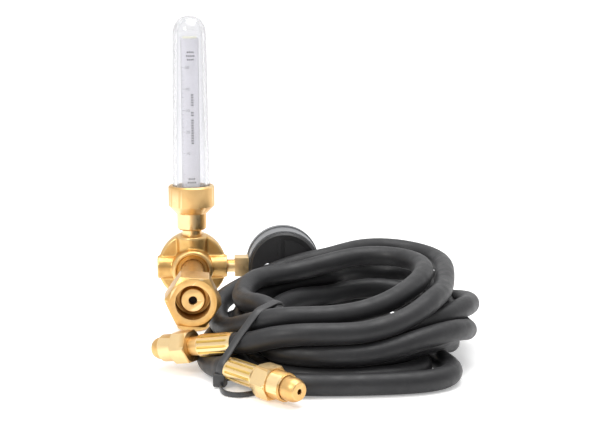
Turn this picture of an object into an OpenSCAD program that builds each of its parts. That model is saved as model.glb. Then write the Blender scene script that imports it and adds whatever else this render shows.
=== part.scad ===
// Shielding-gas flowmeter regulator with its coiled gas hose.
// Millimetres. The origin is the centre of the outlet mouth, +Z runs up the
// flow tube, -Y out of the cylinder inlet and +X towards the pressure gauge.

/* [Regulator body] */
// Height of the inlet axis above the outlet mouth
axis_h = 41; // [40:0.5:42]
// Diameter of the round diaphragm flange
flange_d = 44; // [43:0.5:45]
// Diameter of the two side arms
arm_d = 14.6; // [13.8:0.2:15.2]
// Diameter of the upper arm that carries the flow tube
top_arm_d = 19.2; // [18.6:0.2:20]
// Diameter of the outlet boss under the body
outlet_boss_d = 21; // [20.4:0.2:22]
// Minor diameter of the 5/8-18 outlet thread
outlet_thread_d = 14.4; // [14:0.1:14.8]

/* [Inlet] */
// Distance from the body centre to the face of the inlet nut
inlet_reach = 101; // [98:1:104]
// Across-flats size of the inlet nut
inlet_nut_af = 28.6; // [27:0.1:29]
// Length of the inlet nut
inlet_nut_l = 20; // [19:0.5:22]
// Bore of the inlet nut's thread
inlet_thread_d = 20.2; // [19.8:0.1:20.6]
// Diameter of the inlet stem
stem_d = 14.5; // [14:0.1:14.8]
// How far the sealing face sits inside the nut
face_recess = 6; // [5:0.5:7]

/* [Flow tube] */
// Height of the collar's top above the outlet mouth
collar_top = 94; // [93:0.5:96]
// Diameter of the collar
collar_d = 29.5; // [28.5:0.5:31]
// Height of the clear cover's top
cover_top = 201; // [196:1:204]
// Diameter of the clear cover at its foot
cover_foot_d = 23.9; // [23.5:0.1:24.5]
// Diameter of the clear cover under its dome
cover_head_d = 20.7; // [20.4:0.1:21.5]
// Diameter of the scale tube
scale_tube_d = 11.4; // [11:0.1:11.6]
// Diameter of the float ball
ball_d = 6.4; // [6:0.1:6.6]

/* [Gauge] */
// Distance from the flow-tube axis to the gauge's centre
gauge_x = 59; // [58.5:0.5:60]
// Diameter of the gauge case
case_d = 46; // [45:0.5:46.5]
// Diameter of the gauge's rear cover
back_d = 44; // [43:0.5:44.5]

/* [Bonnet and knob] */
// Diameter of the adjusting knob
knob_d = 27; // [24:1:28]
// Length of the adjusting knob
knob_l = 14; // [12:1:16]
// Number of finger grooves around the knob
knob_grooves = 12; // [8:1:16]

/* [Hose] */
// Outer diameter of the gas hose
hose_d = 12.4; // [12:0.1:12.4]
// Across-flats size of the hose nuts
hose_nut_af = 17.5; // [17:0.1:17.6]
// Major diameter of the 5/8-18 hose nut thread
hose_thread_d = 15.88; // [15.8:0.02:15.9]
// Height of the hose bundle where it is tied
bundle_h = 35; // [33:0.5:36]

/* [Hidden] */
$fn = 64;
eps = 0.01;
run = 0.07;                                 // radial running clearance

flange_r = flange_d / 2;
arm_r = arm_d / 2;
flange_y0 = -1.4;                            // rear face of the flange
flange_y1 = 5;                              // its front face
spigot_y1 = 9;                              // rim that clamps the diaphragm
spigot_r = flange_r - 3.5;
inlet_boss_r = 12.9;
inlet_boss_y = -16;
inlet_boss_recess = 2;
chamber_r = 15;
chamber_y = 4.5;
valve_r = 3.6;
valve_y = -7;
nozzle_r = 5;
pin_r = 0.9;
top_arm_z = 61.5;
side_port_r = 4.1;
side_port_x = 12;                           // inner end of both side ports
bleed_x = -7.5;                             // return drilling to the outlet
return_x = -4;                              // and its upper end under the tube
outlet_depth = 12;

stem_r = stem_d / 2;
face_y = -inlet_reach + face_recess;
nut_y0 = -inlet_reach;
nut_y1 = nut_y0 + inlet_nut_l;
lip_l = 4;                                  // rear lip of the inlet nut
nut_turn = 5;                               // degrees the nut is turned at rest
nipple_face_r = 6.6;
nipple_rim_r = 7.35;
shoulder_r = 9.3;

neck_r = 9.35;
stub_r = 6.2;
neck_z = 65.5;
collar_r = collar_d / 2;
collar_z = 81;
socket_z = 84;                              // foot of the clear cover
scale_z0 = 88;
scale_z1 = 187;
dome_h = 11;
cover_wall = 3;
ball_z = 91.7;                              // float's centre on its seat

case_r = case_d / 2;
back_r = back_d / 2;
case_wall = 1.2;
case_y0 = -4.5;
case_y1 = 13;
back_y = -7;
block_x0 = 27.2;
block_x1 = gauge_x - case_r;
block_w = 12;
pivot_plate_y = [1, 6.5];                   // rear faces of the two plates
plate_t = 1;
pinion_n = 10;
sector_n = 60;
gear_m = 0.4;
sector_pitch_r = sector_n * gear_m / 2;
pinion_pitch_r = pinion_n * gear_m / 2;
sector_z = axis_h - sector_pitch_r - pinion_pitch_r;
arbor_r = 0.8;

bonnet_y1 = 32;
bonnet_wall_y = 28;
cavity_r = 13.5;
screw_r = 4;
button_y = 23;
button_t = 2.5;
knob_y0 = 36.5;

hose_r = hose_d / 2;
ferrule_l = 24;
tail_l = 21;
tail_r = 5.7;
barb_r = 3.4;
neck_hose_r = 5.5;
hose_nut_l = 20.5;
hose_hex_l = 11;
nose_l = 56;                                // ferrule's end to the nose's tip
hose_lip = 3;
nose_r = 6.6;

// Each hose end: place of the ferrule's open end, heading and dip in degrees,
// and how far along the fitting its nut sits.
end_a_at = [23.3, -120.7, 22];
end_a_yaw = 145;
end_a_dip = 11;
end_a_nut = 29.5;
end_b_at = [20.2, -131.4, 10.6];
end_b_yaw = -51;
end_b_dip = 1;
end_b_nut = 26.5;

// Free stretch of hose from each ferrule to the coil.
lead_a = [end_a_at, [27, -123.3, 22.9], [31, -125.8, 23.6], [36, -128.2, 24.2]];
lead_b = [[24, -91, 6.4], [18, -95, 6.4], [14, -101, 6.4], [12.6, -109, 6.4],
          [13.2, -117, 6.8], [14.6, -122.6, 8.6], [16.42, -126.74, 10.7],
          end_b_at];

// The coil's outline runs round five circles: [x, y, radius].
coil_corners = [[62, -88, 43], [100, -106, 50], [128, -52, 50],
                [128, -38, 48], [62, -58, 36]];
coil_band = 30;                             // width of the bundle of turns
coil_rise = 8;                              // degrees the coil's top slopes
coil_top_at = [62, -135];                   // where its height is bundle_h

tie_at = [42.5, -108.1];
tie_turn = 46;                              // degrees, across the bundle
tie_w = 4.8;
tie_t = 1.2;
tie_gap = 0.3;

brass = "#d9b25f";
bright_brass = "#e6c67c";

// ---- helpers ---------------------------------------------------------------

// Cylinder or cone along +Y on the inlet axis.
module ycyl(y0, y1, r0, r1 = -1) {
    translate([0, y0, axis_h])
        rotate([-90, 0, 0])
            cylinder(h = y1 - y0, r1 = r0, r2 = r1 < 0 ? r0 : r1);
}

// Cylinder along +X through the side arms.
module xcyl(x0, x1, r) {
    translate([x0, 0, axis_h])
        rotate([0, 90, 0])
            cylinder(h = x1 - x0, r = r);
}

// Cylinder or cone along +Z on the flow-tube axis.
module zcyl(z0, z1, r0, r1 = -1) {
    translate([0, 0, z0])
        cylinder(h = z1 - z0, r1 = r0, r2 = r1 < 0 ? r0 : r1);
}

// Disc or ring on the gauge's axis.
module gauge_disc(y0, y1, r) {
    translate([gauge_x, 0, 0])
        ycyl(y0, y1, r);
}

function unit(v) = v / norm(v);

// Direction of travel at point i of a route.
function heading(p, i) =
    unit(p[min(i + 1, len(p) - 1)] - p[max(i - 1, 0)]);

// Round tube along a route: rings of points joined into one closed skin.
module swept_tube(p, r, sides, up = [0, 0, 1]) {
    n = len(p);
    points = [for (i = [0 : n - 1])
        let (t = heading(p, i), u = unit(cross(up, t)), v = cross(t, u))
        for (k = [0 : sides - 1])
            p[i] + r * cos(360 * k / sides) * u
                 + r * sin(360 * k / sides) * v];
    skin = [for (i = [0 : n - 2], k = [0 : sides - 1])
        [i * sides + k, i * sides + (k + 1) % sides,
         (i + 1) * sides + (k + 1) % sides, (i + 1) * sides + k]];
    lids = [[for (k = [sides - 1 : -1 : 0]) k],
            [for (k = [0 : sides - 1]) (n - 1) * sides + k]];
    polyhedron(points = points,
               faces = [for (f = concat(skin, lids)) [for (j = f) j]],
               convexity = 8);
}

// Compression spring along +Z with its foot at z = 0.
module coil_spring(mean_r, wire_r, height, turns) {
    steps = 16;
    rise = height - 2 * wire_r;
    path = [for (i = [0 : steps * turns])
        let (a = 360 * i / steps)
        [mean_r * cos(a), mean_r * sin(a),
         wire_r + rise * i / (steps * turns)]];
    swept_tube(path, wire_r, 8);
}

// Gear outline with plain trapezoid teeth, from tooth first to tooth last.
module gear_2d(count, m, first, last, slack = 0.12) {
    pitch = 360 / count;
    root_r = count * m / 2 - 1.15 * m;
    tip_r = count * m / 2 + 0.75 * m;
    half = pitch * (0.25 - slack / 2);
    circle(r = root_r);
    for (i = [first : last])
        rotate(i * pitch)
            polygon([for (c = [[root_r - 0.2, -1.5], [tip_r, -0.55],
                               [tip_r, 0.55], [root_r - 0.2, 1.5]])
                [c[0] * cos(half * c[1]), c[0] * sin(half * c[1])]]);
}

// Puts children, built along +Z, at a hose end.
module at_end(at, yaw, dip) {
    translate(at)
        rotate([0, 90 + dip, yaw])
            children();
}

// ---- regulator body --------------------------------------------------------

// Two side arms, the upper arm and the outlet boss.
module body_arms() {
    xcyl(-flange_r - 0.4, flange_r + 0.4, arm_r);
    zcyl(axis_h - 5, top_arm_z - 1, top_arm_d / 2);
    zcyl(top_arm_z - 1, top_arm_z, top_arm_d / 2, top_arm_d / 2 - 1);
    zcyl(1, axis_h - 2, outlet_boss_d / 2);
    zcyl(0, 1, outlet_boss_d / 2 - 1, outlet_boss_d / 2);
}

module body() {
    color(brass)
        difference() {
            union() {
                ycyl(flange_y0, flange_y0 + 1, flange_r - 1, flange_r);
                ycyl(flange_y0 + 1, flange_y1, flange_r);
                ycyl(flange_y1, spigot_y1, spigot_r);
                ycyl(inlet_boss_y + 1.2, 0, inlet_boss_r);
                ycyl(inlet_boss_y, inlet_boss_y + 1.2, inlet_boss_r - 1.2, inlet_boss_r);
                difference() {
                    body_arms();
                    ycyl(flange_y1 - 0.6, 14, flange_r + 0.2);
                }
            }
            // seat of the flow tube's foot
            zcyl(top_arm_z, top_arm_z + 4, stub_r + 0.4);
            // recess round the stem, and the stem's thread
            ycyl(inlet_boss_y - eps, inlet_boss_y + inlet_boss_recess, 10.2);
            ycyl(inlet_boss_y, valve_y, stem_r);
            // valve chamber, nozzle seat and diaphragm chamber
            ycyl(valve_y - eps, 0, valve_r);
            ycyl(-eps, chamber_y + eps, nozzle_r);
            ycyl(chamber_y, spigot_y1 + 1, chamber_r);
            // gauge port on one side, plugged port on the other
            xcyl(0, flange_r + 1, 1.5);
            xcyl(side_port_x, flange_r + 1, side_port_r);
            xcyl(-flange_r - 1, -side_port_x, side_port_r);
            xcyl(-side_port_x - 1, bleed_x + 0.3, 1.2);
            // supply up to the flow tube
            translate([0, 0, 12.6])
                ycyl(0.2, chamber_y + 1, 1.5);
            zcyl(axis_h + 11, top_arm_z + 1, 2);
            zcyl(top_arm_z - 6, top_arm_z + 1, stub_r - 1.2);
            // return from the flow tube to the outlet
            translate([bleed_x, 0, 0])
                zcyl(outlet_depth + 2, top_arm_z - 9, 1.5);
            translate([return_x, 0, 0])
                zcyl(top_arm_z - 11.3, top_arm_z - 5, 1);
            translate([bleed_x, 0, top_arm_z - 10.2])
                rotate([0, 90, 0])
                    cylinder(h = return_x - bleed_x, r = 0.9);
            zcyl(-1, outlet_depth, outlet_thread_d / 2);
            zcyl(outlet_depth - 1, outlet_depth + 4, 3);
            translate([bleed_x, 0, outlet_depth + 3])
                rotate([0, 90, 0])
                    cylinder(h = -bleed_x, r = 1);
        }
}

module side_plug() {
    color(brass)
        difference() {
            xcyl(-flange_r + 0.6, -side_port_x - 0.5, side_port_r);
            translate([-flange_r, 0, axis_h])
                rotate([0, 90, 0])
                    cylinder(h = 5, r = 2.3, $fn = 6);
        }
}

module inlet_stem() {
    color(bright_brass)
        difference() {
            union() {
                ycyl(face_y, face_y + 0.8, nipple_face_r, nipple_rim_r);
                ycyl(face_y + 0.8, face_y + 7, nipple_rim_r);
                ycyl(face_y + 7, nut_y1 - lip_l - 0.3, shoulder_r);
                ycyl(nut_y1 - lip_l - 0.5, valve_y - 0.5, stem_r);
            }
            ycyl(face_y - 1, face_y + 16, 2.45);
            ycyl(face_y + 15, valve_y + 1, 2);
        }
}

module inlet_nut() {
    color(brass)
        difference() {
            intersection() {
                translate([0, nut_y0, axis_h])
                    rotate([-90, nut_turn, 0])
                        cylinder(h = inlet_nut_l, r = inlet_nut_af / sqrt(3), $fn = 6);
                union() {
                    ycyl(nut_y0, nut_y0 + 1.7, 13.7, 16.6);
                    ycyl(nut_y0 + 1.7, nut_y1 - 1, 16.6);
                    ycyl(nut_y1 - 1, nut_y1, 16.6, 14.9);
                }
            }
            ycyl(nut_y0 - 1, face_y - 0.5, inlet_thread_d / 2);
            ycyl(face_y - 0.5 - eps, nut_y1 - lip_l, inlet_thread_d / 2 + 0.4);
            ycyl(nut_y1 - lip_l - 1, nut_y1 + 1, stem_r + run);
        }
}

module inlet_filter() {
    color("#b98d55")
        ycyl(face_y + 8, face_y + 15, 2.45);
}

module valve_nozzle() {
    color(bright_brass)
        difference() {
            ycyl(0, chamber_y, nozzle_r);
            ycyl(-1, chamber_y + 1, pin_r + run);
            ycyl(chamber_y - 1.5, chamber_y + 1, 2.2);
        }
}

module valve_poppet() {
    color("#cfcfd2") {
        ycyl(-3.2, -0.3, 2.6);
        ycyl(-0.4, spigot_y1 - 0.3, pin_r);
    }
}

module poppet_spring() {
    color("silver")
        translate([0, -6.9, axis_h])
            rotate([-90, 0, 0])
                coil_spring(2, 0.3, 3.6, 4);
}

module diaphragm() {
    color("#3a3a3c")
        ycyl(spigot_y1, spigot_y1 + 0.6, 17.2);
}

module diaphragm_plate() {
    color("#c9c9cc") {
        ycyl(spigot_y1 + 0.6, spigot_y1 + 2.6, 9);
        ycyl(spigot_y1 + 2.5, spigot_y1 + 4, 4);
    }
}

module range_spring() {
    color("silver")
        translate([0, spigot_y1 + 2.65, axis_h])
            rotate([-90, 0, 0])
                coil_spring(6.3, 1.1, button_y - spigot_y1 - 2.7, 5);
}

module spring_button() {
    color("#c9c9cc")
        difference() {
            union() {
                ycyl(button_y, button_y + button_t, 8.6);
                ycyl(button_y - 1.5, button_y + eps, 4);
            }
            ycyl(button_y + button_t - 0.8, button_y + button_t + 1, screw_r - 0.5);
        }
}

module bonnet() {
    color(brass)
        difference() {
            union() {
                ycyl(flange_y1 + 0.2, 12, flange_r - 0.6);
                ycyl(12, 16, flange_r - 0.6, flange_r - 4);
                ycyl(16, bonnet_wall_y, flange_r - 4, 16.5);
                ycyl(bonnet_wall_y, bonnet_y1, 16.5, 12);
            }
            ycyl(flange_y1, spigot_y1 + 0.6, spigot_r + 0.02);
            ycyl(spigot_y1, bonnet_wall_y, cavity_r);
            ycyl(bonnet_wall_y - 1, bonnet_y1 + 1, screw_r + run);
            zcyl(top_arm_z - 0.2, top_arm_z + 4, stub_r + 0.4);
        }
}

module adjusting_screw() {
    color("#c9c9cc") {
        ycyl(button_y + button_t - 0.75, button_y + button_t + 1, screw_r - 1.2, screw_r);
        ycyl(button_y + button_t + 1, knob_y0 + knob_l - 4, screw_r);
    }
}

module knob() {
    grip_r = knob_d / 2;
    color("#1d1d1f")
        difference() {
            union() {
                ycyl(knob_y0, knob_y0 + 1, grip_r - 1, grip_r);
                ycyl(knob_y0 + 1, knob_y0 + knob_l - 1.5, grip_r);
                ycyl(knob_y0 + knob_l - 1.5, knob_y0 + knob_l, grip_r, grip_r - 1.5);
            }
            ycyl(knob_y0 - 1, knob_y0 + knob_l - 4, screw_r);
            ycyl(knob_y0 + knob_l - 1.2, knob_y0 + knob_l + 1, 8);
            for (i = [0 : knob_grooves - 1])
                translate([0, 0, axis_h])
                    rotate([0, 360 * i / knob_grooves, 0])
                        translate([grip_r + 1.2, knob_y0 - 1, 0])
                            rotate([-90, 0, 0])
                                cylinder(h = knob_l + 2, r = 2.2);
        }
}

module knob_cap() {
    color("#b9b9bc")
        ycyl(knob_y0 + knob_l - 1.2, knob_y0 + knob_l - 0.2, 7.95);
}

// ---- flow tube -------------------------------------------------------------

module tube_base() {
    color(bright_brass)
        difference() {
            union() {
                zcyl(top_arm_z - 5.5, top_arm_z, stub_r - 1.2);
                zcyl(top_arm_z, neck_z, stub_r);
                zcyl(neck_z, neck_z + 1, neck_r - 1, neck_r);
                zcyl(neck_z + 1, collar_z - 5, neck_r);
                zcyl(collar_z - 5, collar_z, neck_r + 0.6, collar_r);
                zcyl(collar_z, collar_top - 1, collar_r);
                zcyl(collar_top - 1, collar_top, collar_r, collar_r - 1);
            }
            zcyl(top_arm_z - 6, scale_z0, 1.4);
            translate([return_x, 0, 0])
                zcyl(top_arm_z - 6, socket_z + 1, 0.8);
            zcyl(socket_z, collar_top + 1, cover_foot_d / 2);
        }
    color(bright_brass)
        difference() {
            zcyl(socket_z, scale_z0 + 3, 7.6);
            zcyl(scale_z0, scale_z0 + 4, scale_tube_d / 2);
            zcyl(socket_z - 1, scale_z0 + 1, 1.4);
            translate([return_x, 0, 0])
                zcyl(socket_z - 1, socket_z + 3, 0.8);
            translate([-8, 0, socket_z + 2.4])
                rotate([0, 90, 0])
                    cylinder(h = 8 + return_x, r = 0.6);
        }
}

module tube_cover() {
    foot_r = cover_foot_d / 2;
    head_r = cover_head_d / 2;
    shoulder_z = cover_top - dome_h;
    color([0.9, 0.92, 0.97, 0.4])
        rotate_extrude()
            difference() {
                union() {
                    polygon([[0, socket_z + 1.7], [foot_r, socket_z + 1.7],
                             [foot_r, collar_top + 2], [head_r, shoulder_z],
                             [0, shoulder_z]]);
                    translate([0, shoulder_z])
                        intersection() {
                            square([head_r, dome_h]);
                            translate([head_r - 9, 0])
                                circle(r = 9);
                        }
                    square([head_r - 6, cover_top - 2]);
                    translate([0, shoulder_z])
                        square([head_r - 4.5, 7.8]);
                    translate([0, cover_top - 14])
                        intersection() {
                            square([head_r, 14]);
                            circle(r = 14);
                        }
                }
                translate([0, -1])
                    square([30, socket_z + 2.7]);
                polygon([[0, 0], [foot_r - cover_wall, 0],
                         [foot_r - cover_wall, collar_top + 2],
                         [head_r - cover_wall, shoulder_z],
                         [head_r - cover_wall - 3, shoulder_z + 4],
                         [0, shoulder_z + 5]]);
            }
}

module cover_seal() {
    color("#202022")
        difference() {
            zcyl(socket_z, socket_z + 1.7, cover_foot_d / 2);
            zcyl(socket_z - 1, socket_z + 3, cover_foot_d / 2 - cover_wall);
        }
}

module scale_tube() {
    color([0.92, 0.92, 0.96, 0.6])
        difference() {
            zcyl(scale_z0 + 1.5, scale_z1, scale_tube_d / 2);
            zcyl(scale_z0, scale_z1 + 1, ball_d / 2 + 0.2, ball_d / 2 + 0.9);
        }
}

module tube_seal() {
    color("#202022")
        difference() {
            zcyl(scale_z0, scale_z0 + 1.5, scale_tube_d / 2);
            zcyl(scale_z0 - 1, scale_z0 + 2, 2.4);
        }
}

module float_ball() {
    color("#2b2b2e")
        translate([0, 0, ball_z])
            sphere(r = ball_d / 2);
}

module float_stop() {
    color("#d9d2a8") {
        zcyl(scale_z1, scale_z1 + 1, 4.6);
        zcyl(scale_z1 - 7, scale_z1 + eps, 1.3);
    }
}

// ---- pressure gauge --------------------------------------------------------

module gauge_socket() {
    half = block_w / 2;
    color(brass)
        difference() {
            union() {
                xcyl(side_port_x + 0.5, block_x0, side_port_r);
                translate([block_x0, -half, axis_h - half])
                    cube([block_x1 - block_x0, block_w, block_w]);
                xcyl(block_x1 - eps, block_x1 + 4, 4);
                translate([block_x1 + 3, -3, axis_h - 5])
                    cube([14, 4, 10]);
            }
            xcyl(0, block_x1 + 14, 1.1);
            translate([gauge_x - 10.7, 0, 0])
                ycyl(-4, 0, 1.2);
        }
}

module gauge_case() {
    color("#b6b8ba")
        difference() {
            gauge_disc(case_y0, case_y1, case_r);
            gauge_disc(case_y0 - 1, case_y1 + 1, case_r - case_wall);
            xcyl(gauge_x - case_r - 1, gauge_x - case_r + 4, 4);
        }
}

module gauge_back() {
    panel_r = 17.5;
    color("#17181a")
        difference() {
            union() {
                translate([gauge_x, 0, 0])
                    ycyl(back_y, back_y + 1.2, back_r - 1.2, back_r);
                gauge_disc(back_y + 1.2, case_y0, back_r);
                gauge_disc(case_y0 - eps, case_y0 + 1, case_r - case_wall);
                // upright rib and the raised panel beside it
                translate([gauge_x - 4.2, back_y - 0.5, axis_h - 18])
                    cube([2, 1, 36]);
                intersection() {
                    gauge_disc(back_y - 0.4, back_y + 0.5, panel_r);
                    translate([gauge_x + 0.2, back_y - 1, axis_h - 20])
                        cube([20, 3, 40]);
                }
            }
            translate([gauge_x - 10.7, 0, 0])
                ycyl(back_y - 1, case_y0 + 2, 1.25);
            xcyl(block_x1, block_x1 + 4.5, 4.05);
        }
}

module gauge_screw() {
    color("#dcdde0")
        translate([gauge_x - 10.7, 0, 0])
            difference() {
                union() {
                    ycyl(back_y - 1.6, back_y - 1, 2.1, 2.7);
                    ycyl(back_y - 1, back_y, 2.7);
                    ycyl(back_y - eps, -1.5, 1.2);
                }
                for (turn = [0, 90])
                    translate([0, back_y - 2, axis_h])
                        rotate([0, turn + 20, 0])
                            translate([-1.6, 0, -0.35])
                                cube([3.2, 1.3, 0.7]);
            }
}

module gauge_bourdon_tube() {
    color("#c9a45a")
        translate([gauge_x, 3, axis_h])
            rotate([90, 0, 0])
                rotate([0, 0, -60])
                    rotate_extrude(angle = 232)
                        translate([15.3, -2])
                            square([1.6, 4]);
}

module gauge_movement() {
    color("#cdb26a")
        difference() {
            union() {
                for (y = pivot_plate_y)
                    translate([gauge_x - 7, y, sector_z - 1.8])
                        cube([14, plate_t, axis_h - sector_z + 5]);
                for (x = [-6, 6])
                    translate([gauge_x + x, pivot_plate_y[0], axis_h + 2])
                        rotate([-90, 0, 0])
                            cylinder(h = pivot_plate_y[1] + plate_t - pivot_plate_y[0], r = 1);
            }
            gauge_disc(0, 10, arbor_r + run);
            translate([gauge_x, 0, sector_z - axis_h])
                ycyl(0, 10, arbor_r + run);
        }
}

module gauge_sector() {
    color("#d8bd72")
        translate([gauge_x, 0, sector_z]) {
            rotate([-90, 0, 0]) {
                translate([0, 0, 3.6])
                    linear_extrude(1)
                        intersection() {
                            rotate(-90)
                                gear_2d(sector_n, gear_m, -8, 1);
                            polygon([[-1.4, 2], [1.4, 2], [4, -16], [-18, -16]]);
                        }
                translate([0, 0, pivot_plate_y[0] - 0.2])
                    cylinder(h = 6.8, r = arbor_r);
                translate([0, 0, 2.6])
                    cylinder(h = 3, r = 1.8);
            }
        }
}

module gauge_pointer() {
    color("#1a1a1a")
        translate([gauge_x, 0, axis_h])
            rotate([-90, 0, 0]) {
                translate([0, 0, 3.2])
                    linear_extrude(1.8)
                        rotate(90 + 180 / pinion_n)
                            gear_2d(pinion_n, gear_m, 0, pinion_n - 1);
                translate([0, 0, pivot_plate_y[0] - 0.2])
                    cylinder(h = 10.8, r = arbor_r);
                translate([0, 0, 10.9])
                    cylinder(h = 0.9, r = 2);
                translate([0, 0, 11])
                    linear_extrude(0.5)
                        rotate(45)
                            polygon([[-5, -1], [-5, 1], [0, 0.9], [15, 0.25],
                                     [15, -0.25], [0, -0.9]]);
            }
}

module gauge_dial() {
    color("#f2f2ee")
        difference() {
            gauge_disc(9.5, 10, case_r - case_wall - 0.1);
            gauge_disc(9, 11, 1.4);
        }
}

module gauge_lens() {
    color([0.9, 0.95, 1, 0.35])
        gauge_disc(case_y1, case_y1 + 1.5, case_r - 1.3);
}

module gauge_bezel() {
    color("#c4c6c8")
        difference() {
            union() {
                gauge_disc(case_y1 - 3, case_y1 + 1.7, case_r + 0.7);
                translate([gauge_x, 0, 0])
                    ycyl(case_y1 + 1.7, case_y1 + 2.5, case_r + 0.7, case_r - 0.4);
            }
            gauge_disc(case_y1 - 4, case_y1, case_r);
            gauge_disc(case_y1 - 1, case_y1 + 1.5, case_r - 1.3);
            gauge_disc(case_y1, case_y1 + 4, case_r - 2.6);
        }
}

// ---- hose ------------------------------------------------------------------

// Outline of the coil, drawn in by a margin.
module coil_outline(inset) {
    hull()
        for (c = coil_corners)
            translate([c[0], c[1]])
                circle(r = c[2] - inset, $fn = 48);
}

module hose_coil() {
    color("#2a2a2c")
        difference() {
            linear_extrude(80)
                difference() {
                    coil_outline(0);
                    coil_outline(coil_band);
                }
            translate([coil_top_at[0], coil_top_at[1], bundle_h])
                rotate([coil_rise, 0, 0])
                    translate([-200, -200, 0])
                        cube([500, 500, 200]);
            // room for the tie under the bundle
            translate([tie_at[0], tie_at[1], 0])
                rotate(tie_turn)
                    translate([-30, -tie_w / 2 - tie_gap, -1])
                        cube([60, tie_w + 2 * tie_gap, tie_t + tie_gap + 1]);
        }
}

module hose_lead_a() {
    color("#2a2a2c")
        swept_tube(lead_a, hose_r, 12);
}

module hose_lead_b() {
    color("#2a2a2c")
        swept_tube(lead_b, hose_r, 12);
}

// Hose squeezed between ferrule and barb.
module hose_tail() {
    difference() {
        cylinder(h = tail_l, r = tail_r);
        translate([0, 0, -1])
            cylinder(h = tail_l + 2, r = barb_r);
    }
}

// Crimped sleeve with long pressed grooves.
module ferrule() {
    ferrule_r = 6.5;
    difference() {
        union() {
            cylinder(h = ferrule_l - 1, r = ferrule_r);
            translate([0, 0, ferrule_l - 1])
                cylinder(h = 1, r1 = ferrule_r, r2 = ferrule_r - 1);
        }
        translate([0, 0, -1])
            cylinder(h = tail_l + 1, r = tail_r);
        cylinder(h = ferrule_l + 1, r = 4.5);
        for (i = [0 : 11])
            rotate(30 * i)
                translate([ferrule_r + 0.95, 0, 3])
                    cylinder(h = ferrule_l - 5, r = 1.2);
    }
}

// Barbed nipple with a bullet nose; nut_at is where its nut starts.
module hose_nipple(nut_at) {
    shoulder_z = nut_at + hose_lip + 0.3;
    difference() {
        union() {
            translate([0, 0, 1])
                cylinder(h = tail_l, r = barb_r);
            translate([0, 0, tail_l])
                cylinder(h = ferrule_l - tail_l, r = 4.5);
            translate([0, 0, ferrule_l])
                cylinder(h = shoulder_z - ferrule_l, r = neck_hose_r);
            translate([0, 0, shoulder_z])
                cylinder(h = nose_l - 5 - shoulder_z, r = nose_r);
            translate([0, 0, nose_l - 5])
                rotate_extrude()
                    intersection() {
                        square([nose_r, 5]);
                        translate([nose_r - 8, 0])
                            circle(r = 8);
                    }
        }
        translate([0, 0, -1])
            cylinder(h = nose_l - 6, r = 2.4);
        cylinder(h = nose_l + 1, r = 1.5);
    }
}

module hose_nut() {
    hex_r = hose_nut_af / sqrt(3);
    thread_r = hose_thread_d / 2;
    difference() {
        union() {
            intersection() {
                rotate(30)
                    cylinder(h = hose_hex_l, r = hex_r, $fn = 6);
                union() {
                    cylinder(h = 1, r1 = hex_r - 1.2, r2 = hex_r + 0.2);
                    translate([0, 0, 1])
                        cylinder(h = hose_hex_l - 2.2, r = hex_r + 0.2);
                    translate([0, 0, hose_hex_l - 1.2])
                        cylinder(h = 1.2, r1 = hex_r + 0.2, r2 = hex_r - 1.4);
                }
            }
            translate([0, 0, hose_hex_l - eps])
                cylinder(h = hose_nut_l - hose_hex_l - 0.8, r = thread_r);
            translate([0, 0, hose_nut_l - 0.8 - 2 * eps])
                cylinder(h = 0.8, r1 = thread_r, r2 = thread_r - 0.6);
        }
        translate([0, 0, -1])
            cylinder(h = hose_nut_l, r = neck_hose_r + run);
        translate([0, 0, hose_lip])
            cylinder(h = hose_nut_l, r = nose_r + 0.25);
    }
}

module hose_tail_a() {
    color("#2a2a2c")
        at_end(end_a_at, end_a_yaw, end_a_dip)
            hose_tail();
}

module hose_tail_b() {
    color("#2a2a2c")
        at_end(end_b_at, end_b_yaw, end_b_dip)
            hose_tail();
}

module ferrule_a() {
    color(bright_brass)
        at_end(end_a_at, end_a_yaw, end_a_dip)
            ferrule();
}

module ferrule_b() {
    color(bright_brass)
        at_end(end_b_at, end_b_yaw, end_b_dip)
            ferrule();
}

module hose_nipple_a() {
    color(bright_brass)
        at_end(end_a_at, end_a_yaw, end_a_dip)
            hose_nipple(end_a_nut);
}

module hose_nipple_b() {
    color(bright_brass)
        at_end(end_b_at, end_b_yaw, end_b_dip)
            hose_nipple(end_b_nut);
}

module hose_nut_a() {
    color(brass)
        at_end(end_a_at, end_a_yaw, end_a_dip)
            translate([0, 0, end_a_nut])
                hose_nut();
}

module hose_nut_b() {
    color(brass)
        at_end(end_b_at, end_b_yaw, end_b_dip)
            translate([0, 0, end_b_nut])
                hose_nut();
}

module cable_tie() {
    inner_w = coil_band + 2 * tie_gap;
    inner_h = bundle_h + 3.5;
    color("#161617")
        translate([tie_at[0], tie_at[1], 0])
            rotate(tie_turn) {
                difference() {
                    translate([-inner_w / 2 - tie_t, -tie_w / 2, 0])
                        cube([inner_w + 2 * tie_t, tie_w, inner_h + 2 * tie_t]);
                    translate([-inner_w / 2, -tie_w, tie_t])
                        cube([inner_w, 2 * tie_w, inner_h]);
                }
            }
}

body();
side_plug();
inlet_stem();
inlet_nut();
inlet_filter();
valve_nozzle();
valve_poppet();
poppet_spring();
diaphragm();
diaphragm_plate();
range_spring();
spring_button();
bonnet();
adjusting_screw();
knob();
knob_cap();
tube_base();
tube_cover();
cover_seal();
scale_tube();
tube_seal();
float_ball();
float_stop();
gauge_socket();
gauge_case();
gauge_back();
gauge_screw();
gauge_bourdon_tube();
gauge_movement();
gauge_sector();
gauge_pointer();
gauge_dial();
gauge_lens();
gauge_bezel();
hose_coil();
hose_lead_a();
hose_lead_b();
hose_tail_a();
hose_tail_b();
ferrule_a();
ferrule_b();
hose_nipple_a();
hose_nipple_b();
hose_nut_a();
hose_nut_b();
cable_tie();
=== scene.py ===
"""Shielding-gas flowmeter regulator with its coiled gas hose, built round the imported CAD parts."""

import math

import bmesh
import bpy
import numpy as np
from mathutils import Matrix, Vector


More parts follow.
